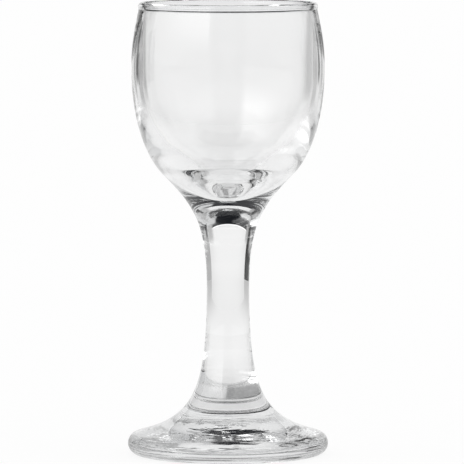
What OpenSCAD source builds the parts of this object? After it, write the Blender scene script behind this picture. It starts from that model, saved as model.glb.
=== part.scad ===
// Small stemmed schnapps glass of clear pressed glass: bowl, stem and foot are
// three pieces that are fused hot at two flat joints into one smooth outline.
// Millimetres, +Z up, origin at the centre of the ring that the foot stands on.

/* [Overall] */
// Height from the table to the top of the rim
height = 115; // [105:0.5:125]

/* [Bowl] */
// Outside diameter at the rim
rim_d = 45.65; // [42:0.05:47]
// Outside diameter at the belly, the widest place of the bowl
belly_d = 49.1; // [47:0.1:52]
// How far the belly lies below the rim
belly_drop = 16.2; // [14:0.1:19]
// Height of the bowl's outside, from the neck up to the rim
bowl_h = 43.7; // [41:0.1:46]
// Thickness of the wall at the belly
belly_wall = 2.6; // [2:0.05:3.5]

/* [Lip] */
// Thickness of the bead that the fire-polished lip ends in
bead_t = 1.76; // [1.5:0.02:2.4]
// Height of the bead
bead_h = 2.22; // [1.6:0.02:3.2]
// How far the bead stands proud of the wall's outside
bead_out = 0.32; // [0.1:0.02:0.4]
// How far the bead stands proud of the wall's inside
bead_in = 0.3; // [0.1:0.02:0.4]
// Radius of the hollow where the bead runs into the wall
bead_fillet = 0.25; // [0.2:0.05:1]
// Slope of the wall's outside under the bead, inwards from upright, in degrees
lip_lean = 12.4; // [6:0.2:18]
// Slope of the wall's inside under the bead, inwards from upright, in degrees
mouth_lean = 3.2; // [0:0.2:10]

/* [Inside of the bowl] */
// Depth of the inside, from the rim down to its lowest point
bowl_depth = 47.5; // [44:0.1:49]
// Slope of the cone that the inside ends in, from level, in degrees
cone_slope = 34; // [26:0.5:42]
// Radius of the cone's rounded tip
tip_r = 8; // [4:0.1:12]
// Thickness of the solid base below the tip, down to the joint with the stem
base_t = 8.2; // [6:0.1:12]

/* [Neck] */
// Outside diameter where the bowl's round turns into the stem's flare
neck_d = 33; // [30:0.1:36]
// Slope of the outside at the neck, from upright, in degrees
neck_slope = 45; // [35:0.5:55]

/* [Stem] */
// Diameter of the stem at its waist, the narrowest place
waist_d = 10.8; // [9:0.1:13]
// Height of the waist above the table
waist_z = 41.9; // [36:0.1:46]

/* [Foot] */
// Outside diameter of the foot
foot_d = 51; // [46:0.1:58]
// Thickness of the foot's rounded edge
edge_t = 5.7; // [4:0.1:6.5]
// Slope of the foot's upper face at the edge, from level, in degrees
foot_slope = 14.7; // [8:0.1:20]
// Height of the foot at its joint with the stem
foot_h = 15; // [12:0.5:18]
// Width of the flat ring that the foot stands on
ring_w = 2; // [1:0.1:4]
// Height of the hollow under the foot, at its middle
hollow_h = 1.2; // [0.6:0.1:3]

/* [Hidden] */
$fn = 96;

// Points on each drawn curve, and on each small round
curve_steps = 20;
round_steps = 10;

// How far each curve follows its end's direction before it bends away
rim_reach = 5.3;
belly_reach = 14.6;
shoulder_reach = 5.7;
neck_reach = 12;
stem_reach = 16;
flare_reach = 26.6;
foot_reach = 14.6;
mouth_reach = 7;
inner_reach = 18;
cone_reach = 12.2;
hollow_reach = 9.2;

// Radii and heights that follow from the driving sizes
bead_r = bead_t / 2;
bead_stretch = bead_h / bead_t;
edge_r = edge_t / 2;
belly_z = height - belly_drop;
neck_z = height - bowl_h;
floor_z = height - bowl_depth;
bowl_joint_z = floor_z - base_t;
foot_joint_z = foot_h;
ring_outer_r = foot_d / 2 - edge_r;
ring_inner_r = ring_outer_r - ring_w;
widest_r = max(belly_d, foot_d, rim_d) / 2;

// Directions of the section line at its stations, outwards or upwards
up = [0, 1];
out = [1, 0];
foot_way = polar(1, 180 - foot_slope);
neck_way = polar(1, 90 - neck_slope);
lip_way = polar(1, 90 + lip_lean);
mouth_way = polar(1, 90 + mouth_lean);
cone_way = polar(1, cone_slope);

// The bead while it is still round, with its centre at the origin: the wall's slopes
// as they are there, the angles that its hollows take up, and their centres
outer_lean = atan(tan(lip_lean) * bead_stretch);
inner_lean = atan(tan(mouth_lean) * bead_stretch);
outer_turn = acos(1 - bead_out / (bead_r + bead_fillet));
inner_turn = acos(1 - bead_in / (bead_r + bead_fillet));
outer_hollow = polar(bead_r + bead_fillet, outer_lean - outer_turn);
inner_hollow = polar(bead_r + bead_fillet, 180 + inner_lean + inner_turn);

// Stations that the section line passes through, as [radius, height]
bead_centre = [rim_d / 2 - bead_r, height - bead_h / 2];
hollow_top = [0, hollow_h];
ring_inside = [ring_inner_r, 0];
edge_centre = [ring_outer_r, edge_r];
edge_top = edge_centre + polar(edge_r, 90 - foot_slope);
waist = [waist_d / 2, waist_z];
neck = [neck_d / 2, neck_z];
belly = [belly_d / 2, belly_z];
lip_outside = drawn_up(outer_hollow + polar(bead_fillet, 180 + outer_lean));
lip_inside = drawn_up(inner_hollow + polar(bead_fillet, inner_lean));
inner_belly = belly - belly_wall * out;
inner_floor = [0, floor_z];
tip_centre = inner_floor + tip_r * up;
cone_end = tip_centre + polar(tip_r, cone_slope - 90);

// A point at a distance and an angle from the origin
function polar(r, angle) = r * [cos(angle), sin(angle)];

// A point of the round bead, drawn up to the bead's height and set in its place
function drawn_up(p) = bead_centre + [p.x, p.y * bead_stretch];

// A circular arc, without its last point
function arc(centre, r, from, to) =
    [for (i = [0:round_steps - 1]) centre + polar(r, from + (to - from) * i / round_steps)];

// A cubic Bezier curve from a to d, pulled towards b and c, without its last point
function curve(a, b, c, d) =
    [for (i = [0:curve_steps - 1])
        let (t = i / curve_steps, s = 1 - t)
        s ^ 3 * a + 3 * s ^ 2 * t * b + 3 * s * t ^ 2 * c + t ^ 3 * d];

// The hollow under the foot, from the axis out to the standing ring
hollow_line = curve(hollow_top, hollow_top + hollow_reach * out,
                    ring_inside - hollow_reach * out, ring_inside);

// The outside, from the standing ring up to the lip
outer_line = concat(
    [ring_inside],
    arc(edge_centre, edge_r, -90, 90 - foot_slope),
    curve(edge_top, edge_top + foot_reach * foot_way, waist - flare_reach * up, waist),
    curve(waist, waist + stem_reach * up, neck - neck_reach * neck_way, neck),
    curve(neck, neck + shoulder_reach * neck_way, belly - belly_reach * up, belly),
    curve(belly, belly + rim_reach * up, lip_outside - rim_reach * lip_way, lip_outside));

// The bead and its two hollows, from the outside over the top to the inside
bead_line = concat(
    arc(outer_hollow, bead_fillet, 180 + outer_lean, 180 + outer_lean - outer_turn),
    arc([0, 0], bead_r, outer_lean - outer_turn, 180 + inner_lean + inner_turn),
    arc(inner_hollow, bead_fillet, inner_lean + inner_turn, inner_lean));

// The lip and the inside, from the lip down to the cone's rounded tip
inner_line = concat(
    [for (p = bead_line) drawn_up(p)],
    curve(lip_inside, lip_inside - mouth_reach * mouth_way,
          inner_belly + mouth_reach * up, inner_belly),
    curve(inner_belly, inner_belly - inner_reach * up,
          cone_end + cone_reach * cone_way, cone_end),
    arc(tip_centre, tip_r, cone_slope - 90, -90),
    [inner_floor]);

// What the bowl holds when it is full to the brim, in millilitres
function filled_ml(line) =
    PI / 3000 * [for (i = [0:len(line) - 2])
        let (a = line[i], b = line[i + 1])
        (a.y - b.y) * (a.x ^ 2 + a.x * b.x + b.x ^ 2)] * [for (i = [0:len(line) - 2]) 1];
echo(brimful_ml = filled_ml([for (p = inner_line) if (p.x <= bead_centre.x) p]));

// Half section of the whole glass
module section() {
    polygon(concat(hollow_line, outer_line, inner_line));
}

// One piece of the glass, turned from the section between two heights
module turned_piece(from_z, to_z) {
    color("aliceblue", 0.45)
        rotate_extrude()
            intersection() {
                section();
                translate([0, from_z]) square([widest_r, to_z - from_z]);
            }
}

module bowl() {
    turned_piece(bowl_joint_z, height);
}

module stem() {
    turned_piece(foot_joint_z, bowl_joint_z);
}

module foot() {
    turned_piece(0, foot_joint_z);
}

bowl();
stem();
foot();
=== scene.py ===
import bpy
import numpy as np
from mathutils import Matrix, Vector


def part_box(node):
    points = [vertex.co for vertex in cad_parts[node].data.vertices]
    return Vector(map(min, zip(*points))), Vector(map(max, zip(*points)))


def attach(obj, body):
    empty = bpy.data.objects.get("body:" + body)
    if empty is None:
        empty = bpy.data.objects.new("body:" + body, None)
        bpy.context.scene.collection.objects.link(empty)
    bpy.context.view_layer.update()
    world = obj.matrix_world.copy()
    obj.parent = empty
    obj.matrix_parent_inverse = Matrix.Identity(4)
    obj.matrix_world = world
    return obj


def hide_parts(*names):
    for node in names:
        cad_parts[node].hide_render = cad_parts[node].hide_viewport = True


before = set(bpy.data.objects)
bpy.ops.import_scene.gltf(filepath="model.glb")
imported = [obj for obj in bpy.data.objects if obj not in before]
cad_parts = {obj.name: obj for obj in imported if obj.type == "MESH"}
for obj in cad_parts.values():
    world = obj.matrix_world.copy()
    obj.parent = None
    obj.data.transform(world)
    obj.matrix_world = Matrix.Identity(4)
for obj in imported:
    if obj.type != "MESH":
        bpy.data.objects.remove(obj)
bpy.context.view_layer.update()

# The bowl is a small tulip cup of clear pressed glass, and its fire-polished lip ends in a fine bead.
# Its inside ends in a blunt cone, and the thick solid base under the cone acts as a lens.
# The base ends in a flat face that is fused hot to the stem.
up = np.array([0.0, 1.0])
out = np.array([1.0, 0.0])
rim_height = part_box("bowl")[1].z
bowl_joint_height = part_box("bowl")[0].z
rim_radius = 0.022825
bead_radius = 0.00088
bead_height = 0.00222
bead_out = 0.00032
bead_in = 0.0003
bead_fillet = 0.00025
lip_lean = 12.4
mouth_lean = 3.2
belly_radius = 0.02455
belly_drop = 0.0162
belly_wall = 0.0026
neck_radius = 0.0165
neck_drop = 0.0437
neck_slope = 45
waist_radius = 0.0054
waist_height = 0.0419
inside_depth = 0.0475
cone_slope = 34
tip_radius = 0.008
rim_reach = 0.0053
belly_reach = 0.0146
shoulder_reach = 0.0057
neck_reach = 0.012
stem_reach = 0.016
mouth_reach = 0.007
inner_reach = 0.018
cone_reach = 0.0122
bowl_steps = 60
bead_steps = 32
fillet_steps = 10
tip_steps = 14
fine_steps = 4001
axis_tolerance = 1e-9


def polar(length, degrees):
    """The point at that distance from the origin, in that direction: length times (cosine, sine)."""
    turn = np.radians(degrees)
    return length * np.array([np.cos(turn), np.sin(turn)])


def sweep(corners, steps, start=0.0, end=1.0):
    """Points and headings on a cubic Bezier curve between two shares of it. A point is the four corners
    weighted by s^3, 3 s^2 t, 3 s t^2 and t^3, where s is 1 - t. Its heading is along the derivative by t."""
    a, b, c, d = corners
    t = np.linspace(start, end, steps)[:, None]
    s = 1 - t
    points = s**3 * a + 3 * s**2 * t * b + 3 * s * t**2 * c + t**3 * d
    headings = s**2 * (b - a) + 2 * s * t * (c - b) + t**2 * (d - c)
    return points, headings


def round_off(centre, radius, start, end, steps):
    """Points and headings on a circular arc: the centre plus the radius times (cosine, sine) of each angle,
    heading along the derivative of that by the angle, in the direction of travel."""
    turn = np.radians(np.linspace(start, end, steps))
    points = centre + radius * np.stack([np.cos(turn), np.sin(turn)], 1)
    headings = np.sign(end - start) * np.stack([-np.sin(turn), np.cos(turn)], 1)
    return points, headings


def drawn_up(stretch):
    """A stretch of the bead, which is round about the origin, drawn up to its height and set on the lip."""
    points, headings = stretch
    return bead_centre + points * bead_draw, headings * bead_draw


def share_at(corners, height):
    """The share of a rising Bezier curve at which it reaches a height, read off closely spaced points."""
    shares = np.linspace(0, 1, fine_steps)
    return np.interp(height, sweep(corners, fine_steps)[0][:, 1], shares)


def chain(*stretches):
    """Stretches of a section line joined end to end, each without its first point, which repeats the last."""
    points = np.vstack([stretches[0][0]] + [s[0][1:] for s in stretches[1:]])
    headings = np.vstack([stretches[0][1]] + [s[1][1:] for s in stretches[1:]])
    return points, headings / np.linalg.norm(headings, axis=1)[:, None]


def turned(name, line, skin, joint, around=192):
    """A closed piece turned about the Z axis from a section line that runs with the glass on its left.
    Each line point (r, z) becomes a ring at (r cos a, r sin a, z), and each heading (hr, hz) the normal
    (hz cos a, hz sin a, -hr). An end on the axis closes as a pole, any other end as a flat joint face."""
    points, headings = line
    rings = points[:, 0] > axis_tolerance
    angle = 2 * np.pi * np.arange(around) / around
    compass = np.stack([np.cos(angle), np.sin(angle)], 1)
    radius, height = points[rings].T
    out_share, up_share = headings[rings, 1], -headings[rings, 0]
    count = len(radius)
    verts = np.empty((count, around, 3))
    verts[..., :2] = radius[:, None, None] * compass
    verts[..., 2] = height[:, None]
    normals = np.empty((count, around, 3))
    normals[..., :2] = out_share[:, None, None] * compass
    normals[..., 2] = up_share[:, None]
    centres = np.array([[0, 0, points[0, 1]], [0, 0, points[-1, 1]]])
    first_centre, last_centre = count * around, count * around + 1
    row = around * np.arange(count - 1)[:, None]
    here = np.arange(around)
    beside = (here + 1) % around
    next_row = row + around
    quads = np.stack([row + here, row + beside, next_row + beside, next_row + here], -1).reshape(-1, 4)
    last = around * (count - 1)
    first_fan = np.stack([np.full(around, first_centre), beside, here], 1)
    last_fan = np.stack([np.full(around, last_centre), last + here, last + beside], 1)

    flat_normals = np.vstack([normals.reshape(-1, 3), [[0, 0, -1], [0, 0, 1]]])
    corner_normals = [flat_normals[quads.ravel()]]
    for fan, on_axis, facing in ((first_fan, not rings[0], -1), (last_fan, not rings[-1], 1)):
        level = np.tile([0.0, 0.0, facing], (3 * around, 1))
        corner_normals.append(flat_normals[fan.ravel()] if on_axis else level)
    joint_faces = np.repeat([False, rings[0], rings[-1]], [len(quads), around, around])

    mesh = bpy.data.meshes.new(name)
    all_verts = np.vstack([verts.reshape(-1, 3), centres])
    mesh.from_pydata(all_verts.tolist(), [], quads.tolist() + first_fan.tolist() + last_fan.tolist())
    mesh.materials.append(skin)
    mesh.materials.append(joint)
    mesh.polygons.foreach_set("material_index", joint_faces.astype(np.int32))
    mesh.shade_smooth()
    mesh.normals_split_custom_set(np.vstack(corner_normals).tolist())
    piece = bpy.data.objects.new(name, mesh)
    bpy.context.scene.collection.objects.link(piece)
    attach(piece, "root")
    return piece


def shader_group(name, entries, results):
    """An empty shader group with the named number sockets, and its entry and result sockets."""
    tree = bpy.data.node_groups.new(name, "ShaderNodeTree")
    for entry in entries:
        tree.interface.new_socket(entry, in_out="INPUT", socket_type="NodeSocketFloat")
    for result in results:
        tree.interface.new_socket(result, in_out="OUTPUT", socket_type="NodeSocketFloat")
    return tree, tree.nodes.new("NodeGroupInput").outputs, tree.nodes.new("NodeGroupOutput").inputs


def feed(tree, socket, value):
    """Links a socket to another socket, or sets it to a plain value."""
    if isinstance(value, bpy.types.NodeSocket):
        tree.links.new(value, socket)
    else:
        socket.default_value = value


def number(tree, operation, *values):
    """The output of a Math node, its inputs fed with numbers or other sockets."""
    node = tree.nodes.new("ShaderNodeMath")
    node.operation = operation
    for socket, value in zip(node.inputs, values):
        feed(tree, socket, value)
    return node.outputs[0]


def product(tree, first, *others):
    """The product of several numbers or sockets, one Math node after another."""
    for other in others:
        first = number(tree, "MULTIPLY", first, other)
    return first


def step_up(tree, value, low, high):
    """A smooth step from 0 where a value is low to 1 where it is high: 3 t^2 - 2 t^3, where t is the share of
    the way from low to high. Low may be the greater of the two."""
    node = tree.nodes.new("ShaderNodeMapRange")
    node.interpolation_type = "SMOOTHSTEP"
    for socket, given in zip(node.inputs, (value, low, high)):
        feed(tree, socket, given)
    return node.outputs["Result"]


def blend(tree, share, first, second):
    """A mix of two colours by a share from 0 to 1."""
    node = tree.nodes.new("ShaderNodeMix")
    node.data_type = "RGBA"
    for socket, value in ((node.inputs[0], share), (node.inputs[6], first), (node.inputs[7], second)):
        feed(tree, socket, value)
    return node.outputs[2]


def noise_at(tree, place, scale, detail, distortion=0.0):
    """The value of a noise texture at a place."""
    node = tree.nodes.new("ShaderNodeTexNoise")
    for entry, value in (("Vector", place), ("Scale", scale), ("Detail", detail), ("Distortion", distortion)):
        feed(tree, node.inputs[entry], value)
    return node.outputs["Fac"]


def object_axes(tree):
    """The X, Y and Z of a point in its object's own coordinates."""
    axes = tree.nodes.new("ShaderNodeSeparateXYZ")
    tree.links.new(tree.nodes.new("ShaderNodeTexCoord").outputs["Object"], axes.inputs[0])
    return axes.outputs


def place_at(tree, *coordinates):
    """A place from its three coordinates."""
    node = tree.nodes.new("ShaderNodeCombineXYZ")
    for socket, value in zip(node.inputs, coordinates):
        feed(tree, socket, value)
    return node.outputs[0]


def off_axis(tree, x, y):
    """The distance from the Z axis: the square root of x^2 + y^2."""
    return number(tree, "SQRT", number(tree, "ADD", number(tree, "POWER", x, 2), number(tree, "POWER", y, 2)))


# Soft waves that the melt leaves all over the skin, drawn out along Z by a factor.
wave_scale = 70
wave_detail = 1
wave_height = 0.00002
waves, waves_in, waves_out = shader_group("melt_waves", ["Draw"], ["Height"])
waves_x, waves_y, waves_z = object_axes(waves)
waves_place = place_at(waves, waves_x, waves_y, number(waves, "MULTIPLY", waves_z, waves_in["Draw"]))
waves_noise = noise_at(waves, waves_place, wave_scale, wave_detail)
waves.links.new(number(waves, "MULTIPLY", waves_noise, wave_height), waves_out[0])

# Ripples where the cold mould chilled the glass, as noise of (r, k cos a, k sin a), where k is small, so that
# they run round the axis.
ripple_turn = 0.0025
ripple_edge = 0.9
ripple_detail = 2
ripple_distortion = 0.3
ripples, ripples_in, ripples_out = shader_group("chill_ripples", ["Reach", "Low", "High", "Scale", "Depth"],
                                                ["Height"])
ripples_x, ripples_y, ripples_z = object_axes(ripples)
from_axis = off_axis(ripples, ripples_x, ripples_y)
turn = number(ripples, "ARCTAN2", ripples_y, ripples_x)
turn_cosine = number(ripples, "MULTIPLY", number(ripples, "COSINE", turn), ripple_turn)
turn_sine = number(ripples, "MULTIPLY", number(ripples, "SINE", turn), ripple_turn)
ripples_place = place_at(ripples, from_axis, turn_cosine, turn_sine)
ripples_full = number(ripples, "MULTIPLY", ripples_in["Reach"], ripple_edge)
within = step_up(ripples, from_axis, ripples_in["Reach"], ripples_full)
above = number(ripples, "GREATER_THAN", ripples_z, ripples_in["Low"])
below = number(ripples, "LESS_THAN", ripples_z, ripples_in["High"])
marks = noise_at(ripples, ripples_place, ripples_in["Scale"], ripple_detail, ripple_distortion)
ripples.links.new(product(ripples, within, above, below, marks, ripples_in["Depth"]), ripples_out[0])

# A faint haze in patches, as handling leaves it.
haze_scale = 160
haze_detail = 4
haze_start = 0.5
haze_full = 0.75
haze_roughness = 0.02
handling, _, handling_out = shader_group("handling", [], ["Haze"])
handling_place = handling.nodes.new("ShaderNodeTexCoord").outputs["Object"]
haze_noise = noise_at(handling, handling_place, haze_scale, haze_detail)
haze = step_up(handling, haze_noise, haze_start, haze_full)
handling.links.new(number(handling, "MULTIPLY", haze, haze_roughness), handling_out[0])

# The tint of thick glass, which deepens between two heights and is partly there again in the lip's bead.
lip_share = 0.7
tint, tint_in, tint_out = shader_group("thick_tint", ["Clear", "Deep", "Lip"], ["Tone"])
tint_height = object_axes(tint)["Z"]
deepening = step_up(tint, tint_height, tint_in["Clear"], tint_in["Deep"])
on_lip = number(tint, "GREATER_THAN", tint_height, tint_in["Lip"])
tint.links.new(number(tint, "MULTIPLY_ADD", on_lip, lip_share, deepening), tint_out[0])

glass_ior = 1.51
clear_tone = (0.992, 0.993, 0.993, 1)
deep_tone = (0.87, 0.876, 0.88, 1)


def glass_group(tree, group, **entries):
    """The result of a shader group set into a material's tree, with its entries set."""
    node = tree.nodes.new("ShaderNodeGroup")
    node.node_tree = group
    for name, value in entries.items():
        node.inputs[name].default_value = value
    return node.outputs[0]


def clear_glass(name, *chills, draw, clear, deep, lip=1.0):
    """A material of nearly colourless glass. Its tint deepens from the clear height to the deep height and is
    partly there above the lip height, its waves are drawn out along Z by the draw factor, each chill is a set
    of ripples within a reach of the axis and between two heights, and handling leaves a faint haze."""
    material = bpy.data.materials.new(name)
    material.use_nodes = True
    tree = material.node_tree
    shader = tree.nodes["Principled BSDF"]
    shader.inputs["IOR"].default_value = glass_ior
    shader.inputs["Transmission Weight"].default_value = 1
    tone = blend(tree, glass_group(tree, tint, Clear=clear, Deep=deep, Lip=lip), clear_tone, deep_tone)
    tree.links.new(tone, shader.inputs["Base Color"])
    bump = tree.nodes.new("ShaderNodeBump")
    bump.inputs["Distance"].default_value = 1
    height = glass_group(tree, waves, Draw=draw)
    for chill in chills:
        height = number(tree, "ADD", height, glass_group(tree, ripples, **chill))
    tree.links.new(height, bump.inputs["Height"])
    tree.links.new(bump.outputs["Normal"], shader.inputs["Normal"])
    tree.links.new(glass_group(tree, handling), shader.inputs["Roughness"])
    return material


fused = bpy.data.materials.new("fused_joint")
fused.use_nodes = True
fused.node_tree.nodes["Principled BSDF"].inputs["Alpha"].default_value = 0

bead_centre = np.array([rim_radius - bead_radius, rim_height - bead_height / 2])
bead_draw = np.array([1, bead_height / (2 * bead_radius)])
outer_lean = np.degrees(np.arctan(np.tan(np.radians(lip_lean)) * bead_draw[1]))
inner_lean = np.degrees(np.arctan(np.tan(np.radians(mouth_lean)) * bead_draw[1]))
outer_turn = np.degrees(np.arccos(1 - bead_out / (bead_radius + bead_fillet)))
inner_turn = np.degrees(np.arccos(1 - bead_in / (bead_radius + bead_fillet)))
outer_hollow = polar(bead_radius + bead_fillet, outer_lean - outer_turn)
inner_hollow = polar(bead_radius + bead_fillet, 180 + inner_lean + inner_turn)
outer_fillet = drawn_up(round_off(outer_hollow, bead_fillet, 180 + outer_lean, 180 + outer_lean - outer_turn,
                                  fillet_steps))
bead = drawn_up(round_off(0, bead_radius, outer_lean - outer_turn, 180 + inner_lean + inner_turn, bead_steps))
inner_fillet = drawn_up(round_off(inner_hollow, bead_fillet, inner_lean + inner_turn, inner_lean,
                                  fillet_steps))
lip_outside = outer_fillet[0][0]
lip_inside = inner_fillet[0][-1]
lip_way = polar(1, 90 + lip_lean)
mouth_way = polar(1, 90 + mouth_lean)
belly = np.array([belly_radius, rim_height - belly_drop])
inner_belly = belly - belly_wall * out
neck = np.array([neck_radius, rim_height - neck_drop])
neck_way = polar(1, 90 - neck_slope)
waist = np.array([waist_radius, waist_height])
tip_centre = np.array([0, rim_height - inside_depth + tip_radius])
cone_end = tip_centre + polar(tip_radius, cone_slope - 90)
cone_way = polar(1, cone_slope)

neck_curve = (waist, waist + stem_reach * up, neck - neck_reach * neck_way, neck)
shoulder_curve = (neck, neck + shoulder_reach * neck_way, belly - belly_reach * up, belly)
rim_curve = (belly, belly + rim_reach * up, lip_outside - rim_reach * lip_way, lip_outside)
mouth_curve = (lip_inside, lip_inside - mouth_reach * mouth_way, inner_belly + mouth_reach * up, inner_belly)
inner_curve = (inner_belly, inner_belly - inner_reach * up, cone_end + cone_reach * cone_way, cone_end)
bowl_joint_share = share_at(neck_curve, bowl_joint_height)
bowl_line = chain(
    sweep(neck_curve, bowl_steps, start=bowl_joint_share),
    sweep(shoulder_curve, bowl_steps),
    sweep(rim_curve, bowl_steps),
    outer_fillet,
    bead,
    inner_fillet,
    sweep(mouth_curve, bowl_steps),
    sweep(inner_curve, bowl_steps),
    round_off(tip_centre, tip_radius, cone_slope - 90, -90, tip_steps))
bowl_line[0][-1, 0] = 0
tip_chill = dict(Reach=0.0095, Low=0.066, High=0.08, Scale=450, Depth=0.00007)
cone_chill = dict(Reach=0.0185, Low=0.066, High=0.088, Scale=150, Depth=0.00012)
bowl_glass = clear_glass("bowl_glass", tip_chill, cone_chill, draw=1, clear=0.082, deep=0.05, lip=0.1128)
bowl = turned("glass_bowl", bowl_line, bowl_glass, fused)
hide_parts("bowl")

# The stem is a solid rod of the same glass, drawn to a waist while it was hot.
# Both of its ends are flat faces that are fused to the bowl and to the foot.
foot_joint_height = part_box("foot")[1].z
foot_radius = 0.0255
edge_radius = 0.00285
foot_slope = 14.7
foot_reach = 0.0146
flare_reach = 0.0266
stem_steps = 60
edge_centre = np.array([foot_radius - edge_radius, edge_radius])
edge_top = edge_centre + polar(edge_radius, 90 - foot_slope)
foot_way = polar(1, 180 - foot_slope)
flare_curve = (edge_top, edge_top + foot_reach * foot_way, waist - flare_reach * up, waist)
foot_joint_share = share_at(flare_curve, foot_joint_height)
stem_line = chain(
    sweep(flare_curve, stem_steps, start=foot_joint_share),
    sweep(neck_curve, stem_steps, end=bowl_joint_share))
stem_glass = clear_glass("stem_glass", draw=0.15, clear=0.02, deep=0.01)
stem = turned("glass_stem", stem_line, stem_glass, fused)
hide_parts("stem")

# The foot is a heavy pressed disc with a thick rounded edge that flares up into the stem.
# It stands on a narrow flat ring, and a shallow hollow under it keeps the middle off the table.
ring_width = 0.002
hollow_height = 0.0012
hollow_reach = 0.0092
foot_steps = 80
edge_steps = 40
hollow_top = np.array([0, hollow_height])
ring_outside = edge_centre - edge_radius * up
ring_inside = ring_outside - ring_width * out
hollow_curve = (hollow_top, hollow_top + hollow_reach * out, ring_inside - hollow_reach * out, ring_inside)
ring_flat = (np.array([ring_inside, ring_outside]), np.array([out, out]))
foot_line = chain(
    sweep(hollow_curve, foot_steps),
    ring_flat,
    round_off(edge_centre, edge_radius, -90, 90 - foot_slope, edge_steps),
    sweep(flare_curve, foot_steps, end=foot_joint_share))
hollow_chill = dict(Reach=0.024, Low=-0.001, High=0.0025, Scale=330, Depth=0.0004)
foot_glass = clear_glass("foot_glass", hollow_chill, draw=1, clear=0.016, deep=0.006)
foot = turned("glass_foot", foot_line, foot_glass, fused)
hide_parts("foot")

# The studio is a room with grey walls and a black ceiling. A large soft light hangs on the left, a dimmer
# panel on the right and a narrow strip high up behind the glass.
# Only the glass sees the room. It is plain white to the camera and to the table.
scene = bpy.context.scene
white = (1, 1, 1, 1)
low_wall = (0.6, 0.605, 0.61, 1)
front_wall = (0.3, 0.303, 0.306, 1)
ceiling = (0.012, 0.013, 0.016, 1)
right_panel = (0.68, 0.685, 0.69, 1)
left_panel = (0.87, 0.872, 0.875, 1)
strip_light = (2.8, 2.8, 2.8, 1)
softbox = (2.9, 2.9, 2.9, 1)
upper_box = (1.3, 1.3, 1.3, 1)
full_turn = 360
world = bpy.data.worlds.new("studio")
scene.world = world
world.use_nodes = True
sky = world.node_tree
sky.nodes.clear()
sky_axes = sky.nodes.new("ShaderNodeSeparateXYZ")
sky.links.new(sky.nodes.new("ShaderNodeTexCoord").outputs["Generated"], sky_axes.inputs[0])
sky_x, sky_y, sky_z = sky_axes.outputs
elevation = number(sky, "DEGREES", number(sky, "ARCSINE", sky_z))
from_camera = number(sky, "DEGREES", number(sky, "ARCTAN2", sky_x, number(sky, "MULTIPLY", sky_y, -1)))
bearing = number(sky, "MODULO", number(sky, "ADD", from_camera, full_turn), full_turn)


def window(tree, value, start, full, fade, end):
    """A level that rises smoothly from 0 at start to 1 at full, and falls from 1 at fade to 0 at end: the
    product of two smooth steps."""
    return number(tree, "MULTIPLY", step_up(tree, value, start, full), step_up(tree, value, end, fade))


def patch(bearings, elevations, soft):
    """A soft-edged rectangle on the sky, from one bearing and elevation to another, in degrees. Bearings run
    round from the camera by the right. It is the product of two windows with edges as wide as soft."""
    start, end = bearings
    low, high = elevations
    across = window(sky, bearing, start, start + soft, end, end + soft)
    upward = window(sky, elevation, low, low + soft, high, high + soft)
    return number(sky, "MULTIPLY", across, upward)


def seen_by_glass(tree):
    """1 for rays that come by way of the glass, reflected or refracted, and 0 for all others."""
    rays = tree.nodes.new("ShaderNodeLightPath").outputs
    return number(tree, "MAXIMUM", rays["Is Glossy Ray"], rays["Is Transmission Ray"])


camera_side = number(sky, "MAXIMUM", step_up(sky, bearing, 24, 14), step_up(sky, bearing, 337, 339))
room = blend(sky, camera_side, low_wall, front_wall)
room = blend(sky, step_up(sky, elevation, 10, 16), room, ceiling)
for shade, bearings, elevations, soft in (
        (right_panel, (18, 142), (-20, 42), 10),
        (right_panel, (136, 158), (24, 48), 5),
        (strip_light, (162, 196), (61.5, 65), 1.5),
        (left_panel, (238, 335), (-20, 58), 10)):
    room = blend(sky, patch(bearings, elevations, soft), room, shade)
box_across = window(sky, bearing, 260, 310, 335.5, 336.5)
box_upward = window(sky, elevation, 4, 26, 48, 62)
box_shade = blend(sky, step_up(sky, elevation, 28, 46), softbox, upper_box)
room = blend(sky, number(sky, "MULTIPLY", box_across, box_upward), room, box_shade)
background = sky.nodes.new("ShaderNodeBackground")
sky.links.new(blend(sky, seen_by_glass(sky), white, room), background.inputs["Color"])
sky.links.new(background.outputs[0], sky.nodes.new("ShaderNodeOutputWorld").inputs["Surface"])

# A low white backdrop stands behind the glass, and a black and a grey flag stand beside it. Its glow is
# painted light, brightest in its middle and with a brighter upper edge. Small soft cards near the bowl draw
# the grey streaks along its sides, and a dark card lies on the table in front. Only the glass sees them.
backdrop_left = (-0.246, 0.32)
backdrop_right = (0.25, 0.32)
backdrop_top = 0.194
backdrop_edge = 0.186
backdrop_foot = 0.05
backdrop_foot_level = 0.93
backdrop_edge_level = 1.25
flag_distance = 0.82
flag_top = 0.4
near = 0.11
black = (0, 0, 0, 1)
front_half = 0.05
front_near = -0.028
front_far = -0.062
front_height = 0.0002


def fall_off(tree, start, end, bright, dim):
    """The level of a surface that is bright in its middle and dims smoothly, to the left and to the right,
    between two distances from the middle plane: bright, plus a smooth step times the difference."""
    aside = number(tree, "ABSOLUTE", object_axes(tree)["X"])
    return number(tree, "MULTIPLY_ADD", step_up(tree, aside, start, end), dim - bright, bright)


def card(name, shade, corners):
    """A flat four-cornered card that shines with one even shade, and that only the glass sees."""
    material = bpy.data.materials.new(name)
    material.use_nodes = True
    surface = material.node_tree.nodes["Principled BSDF"]
    surface.inputs["Base Color"].default_value = black
    surface.inputs["Specular IOR Level"].default_value = 0
    surface.inputs["Emission Color"].default_value = (shade, shade, shade, 1)
    surface.inputs["Emission Strength"].default_value = 1
    mesh = bpy.data.meshes.new(name)
    mesh.from_pydata(corners, [], [[0, 1, 2, 3]])
    mesh.materials.append(material)
    piece = bpy.data.objects.new(name, mesh)
    bpy.context.scene.collection.objects.link(piece)
    piece.visible_camera = False
    piece.visible_diffuse = False
    piece.visible_shadow = False
    return material.node_tree


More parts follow.
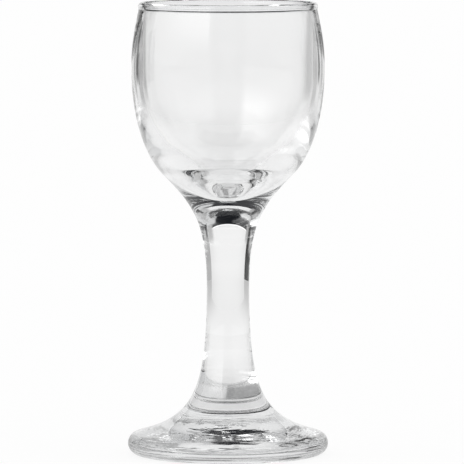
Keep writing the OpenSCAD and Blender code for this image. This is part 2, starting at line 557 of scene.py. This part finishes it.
def upright(name, shade, start, end, low, high):
    """A card that stands on edge between two points of the table, from one height to another."""
    return card(name, shade, [(*start, low), (*end, low), (*end, high), (*start, high)])


def soft_card(name, shade, turns, low, high, side, tip):
    """An upright card near the bowl, between two directions in degrees. Its ends fade out over a share of its
    width, and its foot and top over a share of its height: its alpha is the product of two windows."""
    start, end = polar(near, turns[0]), polar(near, turns[1])
    tree = upright(name, shade, start, end, low, high)
    x, _, z = object_axes(tree)
    inset = side * (end[0] - start[0])
    lift = tip * (high - low)
    across = window(tree, x, start[0], start[0] + inset, end[0] - inset, end[0])
    upward = window(tree, z, low, low + lift, high - lift, high)
    tree.links.new(number(tree, "MULTIPLY", across, upward), tree.nodes["Principled BSDF"].inputs["Alpha"])


# The backdrop's glow is painted light: brightest in its middle, dimmer to the sides and a little darker
# towards its foot.
lit = upright("backdrop", 1, backdrop_left, backdrop_right, 0, backdrop_edge)
lit_height = step_up(lit, object_axes(lit)["Z"], 0, backdrop_foot)
lit_upward = number(lit, "MULTIPLY_ADD", lit_height, 1 - backdrop_foot_level, backdrop_foot_level)
painted_backdrop_light = number(lit, "MULTIPLY", fall_off(lit, 0.08, 0.26, 0.93, 0.83), lit_upward)
lit.links.new(painted_backdrop_light, lit.nodes["Principled BSDF"].inputs["Emission Strength"])
upright("backdrop_edge", backdrop_edge_level, backdrop_left, backdrop_right, backdrop_edge, backdrop_top)
upright("black_flag", 0.008, polar(flag_distance, 126), polar(flag_distance, 164), 0, flag_top)
upright("grey_flag", 0.44, polar(flag_distance, 54), polar(flag_distance, 16), 0, flag_top)
soft_card("left_outer", 0.4, (118, 129), 0.066, 0.122, side=0.35, tip=0.3)
soft_card("left_streak", 0.004, (127, 137), 0.08, 0.124, side=0.2, tip=0.25)
soft_card("left_inner", 0.46, (134, 162), 0.056, 0.122, side=0.25, tip=0.3)
soft_card("right_outer", 0.52, (70, 51), 0.066, 0.122, side=0.35, tip=0.3)
soft_card("right_streak", 0.1, (52.5, 44.5), 0.08, 0.124, side=0.25, tip=0.25)
soft_card("right_inner", 0.54, (46, 18), 0.056, 0.122, side=0.25, tip=0.3)
soft_card("right_rim", 0.01, (52, 35), 0.102, 0.14, side=0.2, tip=0.2)
card("front_card", 0.02, [(-front_half, front_near, front_height), (-front_half, front_far, front_height),
                          (front_half, front_far, front_height), (front_half, front_near, front_height)])

# The floor is a wide pale disc just under the foot. It is partly matt, so that the glass's faint shadow stays
# on it, and for the rest it glows, white to the camera. As the glass sees it, its glow holds painted shade
# and light: it dims to the sides, to the front and under the foot, with a painted dark and a painted light
# half behind the axis there, and a painted strip of light lies on it behind the glass.
floor_radius = 6.0
floor_gap = 0.00005
floor_corners = 96
# Levels of the painted shadow, shade and light in the floor's glow as the glass sees it.
painted_contact_level = 0.88
painted_front_level = 0.4
painted_light_half = 0.228
painted_shadow_half = -0.427
painted_strip_gain = 0.1
camera_glow = 0.9
glass_glow = 0.75
floor_turn = 2 * np.pi * np.arange(floor_corners) / floor_corners
floor_ring = floor_radius * np.stack([np.cos(floor_turn), np.sin(floor_turn), 0 * floor_turn], 1)
floor_ring[:, 2] = -floor_gap
floor_mesh = bpy.data.meshes.new("floor")
floor_mesh.from_pydata(floor_ring.tolist(), [], [list(range(floor_corners))])
floor = bpy.data.objects.new("floor", floor_mesh)
scene.collection.objects.link(floor)
paper = bpy.data.materials.new("white_table")
paper.use_nodes = True
table = paper.node_tree
matt = table.nodes["Principled BSDF"]
matt.inputs["Base Color"].default_value = (0.9, 0.9, 0.9, 1)
matt.inputs["Roughness"].default_value = 0.9
matt.inputs["Specular IOR Level"].default_value = 0
table_x, table_y, _ = object_axes(table)
from_foot = off_axis(table, table_x, table_y)
# Painted contact shadow: to the glass, the floor is darker within a few centimetres of the foot.
clear_of_foot = step_up(table, from_foot, 0.02, 0.06)
painted_contact_shadow = number(table, "MULTIPLY_ADD", clear_of_foot, 1 - painted_contact_level, painted_contact_level)
# Painted shade: to the glass, the floor darkens towards the front.
from_front = step_up(table, table_y, -0.9, -0.2)
painted_front_shade = number(table, "MULTIPLY_ADD", from_front, 1 - painted_front_level, painted_front_level)
# Painted shadow and painted light under the foot, behind the axis: a dark half on the left and a light half
# on the right.
under_foot = step_up(table, from_foot, 0.024, 0.02)
behind_axis = number(table, "MULTIPLY", step_up(table, table_y, 0.002, 0.006), under_foot)
painted_halves = number(table, "MULTIPLY_ADD", step_up(table, table_x, 0, 0.0004), painted_light_half - painted_shadow_half, painted_shadow_half)
painted_local_level = number(table, "MULTIPLY_ADD", behind_axis, painted_halves, 1)
# A painted strip of light on the floor behind the glass.
painted_light_strip = window(table, table_y, 0.03, 0.12, 0.12, 0.3)
painted_local_level = number(table, "MULTIPLY_ADD", painted_light_strip, painted_strip_gain, painted_local_level)
# To the glass, the floor's glow carries all this painted shade and light, and painted shade that dims it to
# the sides.
table_level = product(table, fall_off(table, 0.06, 0.36, 0.87, 0.42), painted_contact_shadow, painted_front_shade, painted_local_level)
by_glass = seen_by_glass(table)
by_camera = table.nodes.new("ShaderNodeLightPath").outputs["Is Camera Ray"]
glow = table.nodes.new("ShaderNodeEmission")
glow_level = number(table, "MULTIPLY_ADD", by_glass, number(table, "SUBTRACT", table_level, 1), 1)
table.links.new(glow_level, glow.inputs["Strength"])
glass_part = number(table, "MULTIPLY", by_glass, glass_glow)
glow_share = number(table, "MULTIPLY_ADD", by_camera, camera_glow, glass_part)
two_ways = table.nodes.new("ShaderNodeMixShader")
table.links.new(glow_share, two_ways.inputs[0])
table.links.new(matt.outputs[0], two_ways.inputs[1])
table.links.new(glow.outputs[0], two_ways.inputs[2])
table.links.new(two_ways.outputs[0], table.nodes["Material Output"].inputs["Surface"])
floor_mesh.materials.append(paper)

# The camera looks at the glass from a little above the rim, with a long lens.
# It stands in front of the glass and is shifted a little, so that the glass stands left of the middle.
picture_pixels = 464
focal_pixels = 5524.6
axis_column = 228
sensor_width = 36
camera_place = np.array([0, -1.4, 0.163])
aim_height = 0.05661
light_bounces = 32
camera_data = bpy.data.cameras.new("camera")
camera_data.sensor_width = sensor_width
camera_data.lens = focal_pixels / picture_pixels * sensor_width
camera_data.shift_x = (picture_pixels / 2 - axis_column) / picture_pixels
camera = bpy.data.objects.new("camera", camera_data)
camera.location = camera_place
camera.rotation_euler = (np.pi / 2 - np.arctan2(camera_place[2] - aim_height, -camera_place[1]), 0, 0)
scene.collection.objects.link(camera)
scene.camera = camera
scene.view_settings.view_transform = "Standard"
scene.cycles.max_bounces = light_bounces
scene.cycles.transmission_bounces = light_bounces
scene.cycles.glossy_bounces = light_bounces
scene.cycles.transparent_max_bounces = light_bounces
